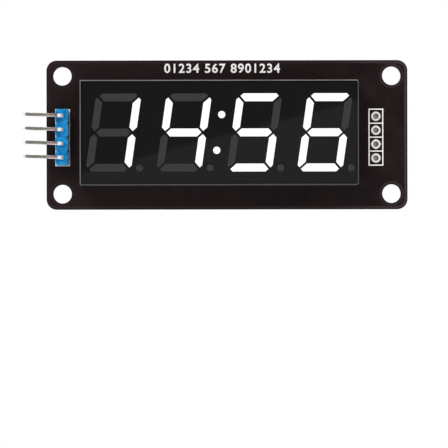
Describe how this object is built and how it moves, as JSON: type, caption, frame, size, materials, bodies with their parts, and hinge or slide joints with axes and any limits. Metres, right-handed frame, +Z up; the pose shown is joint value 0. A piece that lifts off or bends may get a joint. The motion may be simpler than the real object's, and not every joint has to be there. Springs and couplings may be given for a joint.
{
  "type": "seven segment display module",
  "caption": "Black driver board carrying a seven segment clock display with leaning digits and a colon, a blue bent pin header, a driver chip behind and a mounting hole in each corner.",
  "frame": {"origin": "centre of the four mounting holes, on the back face of the circuit board", "axes": "+X to the right and +Z up as the digits are read, +Y out of the board's back; the digits face -Y"},
  "size_m": [0.0699, 0.012, 0.0272],
  "materials": {
    "board_mask": "satin",
    "tinned_copper": "satin",
    "white_ink": "matte",
    "housing_black": "gloss",
    "lit_resin": "gloss",
    "unlit_resin": "gloss",
    "inner_laminate": "satin",
    "light_chip": "satin",
    "potting_resin": "gloss",
    "pin_metal": "satin",
    "solder": "satin",
    "header_blue": "satin",
    "chip_epoxy": "matte",
    "lead_metal": "satin",
    "resistor_glaze": "gloss",
    "capacitor_ceramic": "satin",
    "cap_metal": "satin",
    "light_base": "satin",
    "light_lens": "gloss"
  },
  "bodies": {
    "root": {"circuit_board": "board_mask", "plated_holes": "tinned_copper", "front_silkscreen": "white_ink", "back_silkscreen": "white_ink", "display_shell": "housing_black", "inner_circuit": "inner_laminate", "light_chips": "light_chip", "potting_resin": "potting_resin", "display_pins": "pin_metal", "display_solder": "solder", "header_body": "header_blue", "header_pins": "pin_metal", "header_solder": "solder", "spare_pad_solder": "solder", "driver_chip_body": "chip_epoxy", "driver_chip_leads": "lead_metal", "driver_chip_solder": "solder", "chip_resistors": "resistor_glaze", "chip_capacitors": "capacitor_ceramic", "chip_end_caps": "cap_metal", "chip_solder": "solder", "power_light_base": "light_base", "power_light_lens": "light_lens", "digit_1_segment_a": "unlit_resin", "digit_1_segment_b": "lit_resin", "digit_1_segment_c": "lit_resin", "digit_1_segment_d": "unlit_resin", "digit_1_segment_e": "unlit_resin", "digit_1_segment_f": "unlit_resin", "digit_1_segment_g": "unlit_resin", "digit_1_point": "unlit_resin", "digit_2_segment_a": "unlit_resin", "digit_2_segment_b": "lit_resin", "digit_2_segment_c": "lit_resin", "digit_2_segment_d": "unlit_resin", "digit_2_segment_e": "unlit_resin", "digit_2_segment_f": "lit_resin", "digit_2_segment_g": "lit_resin", "digit_2_point": "unlit_resin", "digit_3_segment_a": "lit_resin", "digit_3_segment_b": "unlit_resin", "digit_3_segment_c": "lit_resin", "digit_3_segment_d": "lit_resin", "digit_3_segment_e": "unlit_resin", "digit_3_segment_f": "lit_resin", "digit_3_segment_g": "lit_resin", "digit_3_point": "unlit_resin", "digit_4_segment_a": "lit_resin", "digit_4_segment_b": "unlit_resin", "digit_4_segment_c": "lit_resin", "digit_4_segment_d": "lit_resin", "digit_4_segment_e": "lit_resin", "digit_4_segment_f": "lit_resin", "digit_4_segment_g": "lit_resin", "digit_4_point": "unlit_resin", "colon_upper": "lit_resin", "colon_lower": "lit_resin"}
  },
  "joints": []
}
